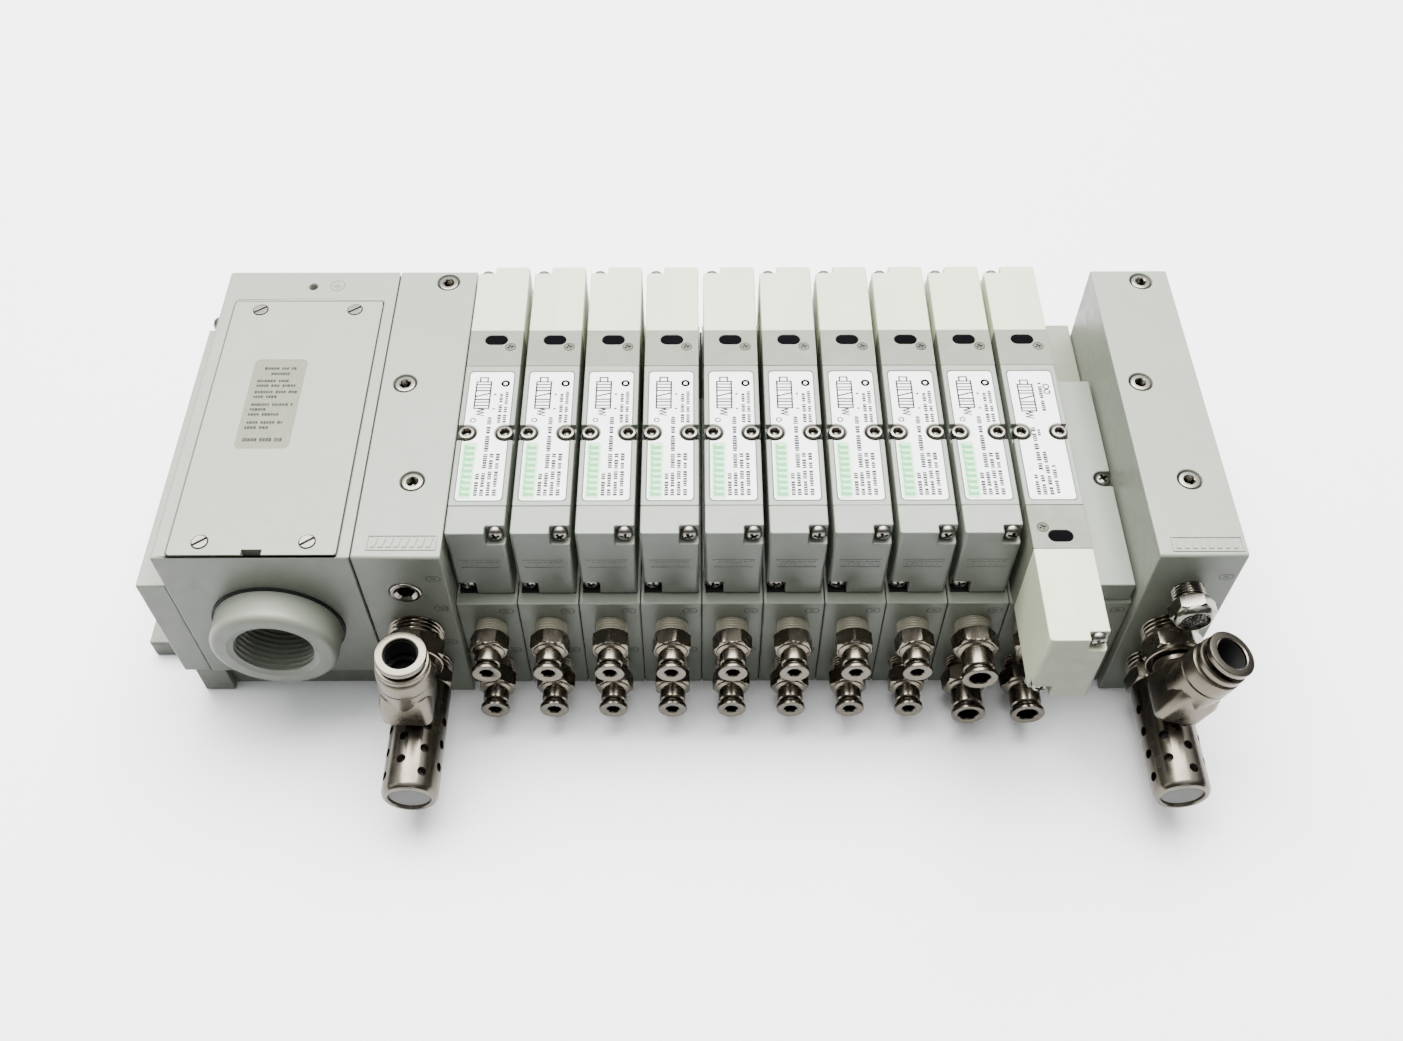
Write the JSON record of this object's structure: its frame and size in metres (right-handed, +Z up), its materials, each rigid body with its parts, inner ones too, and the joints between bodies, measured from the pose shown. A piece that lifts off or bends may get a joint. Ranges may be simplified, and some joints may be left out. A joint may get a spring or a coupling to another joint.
{
  "type": "solenoid directional valve",
  "caption": "Manifold-mounted bank of solenoid directional valves with wiring box, end plates, swivel supply elbows, exhaust silencers and push-in outlet fittings.",
  "frame": {"origin": "middle of the underside of the row of manifold blocks, half way between the front and back of the end plates", "axes": "+X along the bank from the wiring box to the far end plate, -Y towards the side with the outlet fittings, +Z up out of the mounting surface"},
  "size_m": [0.3469, 0.1707, 0.08],
  "materials": {
    "body_paint": "light grey-green satin paint",
    "cover_paint": "light grey-green satin paint",
    "base_paint": "grey-green paint in shade",
    "valve_paint": "light grey-green satin paint",
    "wiring_plastic": "moulded grey-green plastic",
    "pilot_plastic": "moulded grey plastic",
    "cream_plastic": "moulded cream plastic",
    "nickel": "nickel-plated brass, polished",
    "steel": "zinc-plated steel",
    "chrome_steel": "bright plated",
    "black_rubber": "moulded rubber",
    "lens": "dark translucent lens",
    "coil": "enamelled copper winding",
    "terminal_plastic": "moulded terminal blocks",
    "felt": "porous white plastic",
    "override_plastic": "grey plastic button",
    "spool_metal": "ground aluminium",
    "sleeve_metal": "anodised aluminium"
  },
  "bodies": {
    "manifold": {"terminal_box": "body_paint", "box_base": "base_paint", "side_cover": "body_paint", "box_seals": "black_rubber", "conduit_hub": "body_paint", "terminal_strip": "terminal_plastic", "left_end_plate": "body_paint", "right_end_plate": "body_paint", "end_plate_screws": "steel", "manifold_blocks": "body_paint", "gaskets": "black_rubber", "tie_rods": "steel", "wiring_blocks": "wiring_plastic", "valve_bodies": "valve_paint", "valve_sleeves": "sleeve_metal", "end_caps": "valve_paint", "cap_screws": "steel", "pilot_blocks": "pilot_plastic", "solenoid_covers": "cream_plastic", "solenoid_coils": "coil", "return_springs": "steel", "indicator_lenses": "lens", "hold_down_screws": "steel", "blank_plate": "body_paint", "tube_fittings": "nickel", "elbow_stems": "nickel", "silencers": "nickel", "silencer_elements": "felt", "pipe_plug": "steel", "breather": "chrome_steel"},
    "cover": {"terminal_cover": "cover_paint", "cover_screws": "steel"},
    "elbow_left": {"elbow_left": "nickel"},
    "elbow_collar_left": {"elbow_collar_left": "nickel"},
    "elbow_right": {"elbow_right": "nickel"},
    "elbow_collar_right": {"elbow_collar_right": "nickel"},
    "tube_collars": {"tube_collars": "nickel"},
    "armatures": {"armatures": "steel"},
    "armature_10_front": {"armature_10_front": "steel"},
    "override_01": {"override_01": "override_plastic"},
    "override_02": {"override_02": "override_plastic"},
    "override_03": {"override_03": "override_plastic"},
    "override_04": {"override_04": "override_plastic"},
    "override_05": {"override_05": "override_plastic"},
    "override_06": {"override_06": "override_plastic"},
    "override_07": {"override_07": "override_plastic"},
    "override_08": {"override_08": "override_plastic"},
    "override_09": {"override_09": "override_plastic"},
    "override_10": {"override_10": "override_plastic"},
    "override_10_front": {"override_10_front": "override_plastic"},
    "spool_01": {"spool_01": "spool_metal"},
    "spool_02": {"spool_02": "spool_metal"},
    "spool_03": {"spool_03": "spool_metal"},
    "spool_04": {"spool_04": "spool_metal"},
    "spool_05": {"spool_05": "spool_metal"},
    "spool_06": {"spool_06": "spool_metal"},
    "spool_07": {"spool_07": "spool_metal"},
    "spool_08": {"spool_08": "spool_metal"},
    "spool_09": {"spool_09": "spool_metal"},
    "spool_10": {"spool_10": "spool_metal"}
  },
  "joints": [
    {"name": "cover_lift", "type": "slide", "parent": "manifold", "child": "cover", "axis": [0, 0, 1], "range_m": [0, 0.03]},
    {"name": "elbow_left_swivel", "type": "hinge", "parent": "manifold", "child": "elbow_left", "pos_m": [-0.1175, -0.082, 0.038], "axis": [0, 1, 0], "range_deg": [-84, 56]},
    {"name": "elbow_collar_left_press", "type": "slide", "parent": "elbow_left", "child": "elbow_collar_left", "axis": [-0.0698, 0, -0.9976], "range_m": [0, 0.0012], "stiffness_N_per_m": 400, "springref_m": -0.001},
    {"name": "elbow_right_swivel", "type": "hinge", "parent": "manifold", "child": "elbow_right", "pos_m": [0.1175, -0.082, 0.038], "axis": [0, 1, 0], "range_deg": [-100, 60]},
    {"name": "elbow_collar_right_press", "type": "slide", "parent": "elbow_right", "child": "elbow_collar_right", "axis": [-0.342, 0, -0.9397], "range_m": [0, 0.0012], "stiffness_N_per_m": 400, "springref_m": -0.001},
    {"name": "tube_collars_press", "type": "slide", "parent": "manifold", "child": "tube_collars", "axis": [0, 1, 0], "range_m": [0, 0.001], "stiffness_N_per_m": 800, "springref_m": -0.002},
    {"name": "armatures_lift", "type": "slide", "parent": "manifold", "child": "armatures", "axis": [0, 1, 0], "range_m": [0, 0.0006], "stiffness_N_per_m": 800, "springref_m": -0.002},
    {"name": "armature_10_front_lift", "type": "slide", "parent": "manifold", "child": "armature_10_front", "axis": [0, -1, 0], "range_m": [0, 0.0006], "stiffness_N_per_m": 200, "springref_m": -0.002},
    {"name": "override_01_press", "type": "slide", "parent": "manifold", "child": "override_01", "axis": [0, 0, -1], "range_m": [0, 0.0015], "stiffness_N_per_m": 150, "springref_m": -0.002},
    {"name": "override_02_press", "type": "slide", "parent": "manifold", "child": "override_02", "axis": [0, 0, -1], "range_m": [0, 0.0015], "stiffness_N_per_m": 150, "springref_m": -0.002},
    {"name": "override_03_press", "type": "slide", "parent": "manifold", "child": "override_03", "axis": [0, 0, -1], "range_m": [0, 0.0015], "stiffness_N_per_m": 150, "springref_m": -0.002},
    {"name": "override_04_press", "type": "slide", "parent": "manifold", "child": "override_04", "axis": [0, 0, -1], "range_m": [0, 0.0015], "stiffness_N_per_m": 150, "springref_m": -0.002},
    {"name": "override_05_press", "type": "slide", "parent": "manifold", "child": "override_05", "axis": [0, 0, -1], "range_m": [0, 0.0015], "stiffness_N_per_m": 150, "springref_m": -0.002},
    {"name": "override_06_press", "type": "slide", "parent": "manifold", "child": "override_06", "axis": [0, 0, -1], "range_m": [0, 0.0015], "stiffness_N_per_m": 150, "springref_m": -0.002},
    {"name": "override_07_press", "type": "slide", "parent": "manifold", "child": "override_07", "axis": [0, 0, -1], "range_m": [0, 0.0015], "stiffness_N_per_m": 150, "springref_m": -0.002},
    {"name": "override_08_press", "type": "slide", "parent": "manifold", "child": "override_08", "axis": [0, 0, -1], "range_m": [0, 0.0015], "stiffness_N_per_m": 150, "springref_m": -0.002},
    {"name": "override_09_press", "type": "slide", "parent": "manifold", "child": "override_09", "axis": [0, 0, -1], "range_m": [0, 0.0015], "stiffness_N_per_m": 150, "springref_m": -0.002},
    {"name": "override_10_press", "type": "slide", "parent": "manifold", "child": "override_10", "axis": [0, 0, -1], "range_m": [0, 0.0015], "stiffness_N_per_m": 150, "springref_m": -0.002},
    {"name": "override_10_front_press", "type": "slide", "parent": "manifold", "child": "override_10_front", "axis": [0, 0, -1], "range_m": [0, 0.0015], "stiffness_N_per_m": 150, "springref_m": -0.002},
    {"name": "spool_01_shift", "type": "slide", "parent": "manifold", "child": "spool_01", "axis": [0, -1, 0], "range_m": [0, 0.004], "stiffness_N_per_m": 500, "springref_m": -0.004},
    {"name": "spool_02_shift", "type": "slide", "parent": "manifold", "child": "spool_02", "axis": [0, -1, 0], "range_m": [0, 0.004], "stiffness_N_per_m": 500, "springref_m": -0.004},
    {"name": "spool_03_shift", "type": "slide", "parent": "manifold", "child": "spool_03", "axis": [0, -1, 0], "range_m": [0, 0.004], "stiffness_N_per_m": 500, "springref_m": -0.004},
    {"name": "spool_04_shift", "type": "slide", "parent": "manifold", "child": "spool_04", "axis": [0, -1, 0], "range_m": [0, 0.004], "stiffness_N_per_m": 500, "springref_m": -0.004},
    {"name": "spool_05_shift", "type": "slide", "parent": "manifold", "child": "spool_05", "axis": [0, -1, 0], "range_m": [0, 0.004], "stiffness_N_per_m": 500, "springref_m": -0.004},
    {"name": "spool_06_shift", "type": "slide", "parent": "manifold", "child": "spool_06", "axis": [0, -1, 0], "range_m": [0, 0.004], "stiffness_N_per_m": 500, "springref_m": -0.004},
    {"name": "spool_07_shift", "type": "slide", "parent": "manifold", "child": "spool_07", "axis": [0, -1, 0], "range_m": [0, 0.004], "stiffness_N_per_m": 500, "springref_m": -0.004},
    {"name": "spool_08_shift", "type": "slide", "parent": "manifold", "child": "spool_08", "axis": [0, -1, 0], "range_m": [0, 0.004], "stiffness_N_per_m": 500, "springref_m": -0.004},
    {"name": "spool_09_shift", "type": "slide", "parent": "manifold", "child": "spool_09", "axis": [0, -1, 0], "range_m": [0, 0.004], "stiffness_N_per_m": 500, "springref_m": -0.004},
    {"name": "spool_10_shift", "type": "slide", "parent": "manifold", "child": "spool_10", "axis": [0, -1, 0], "range_m": [0, 0.004]}
  ]
}
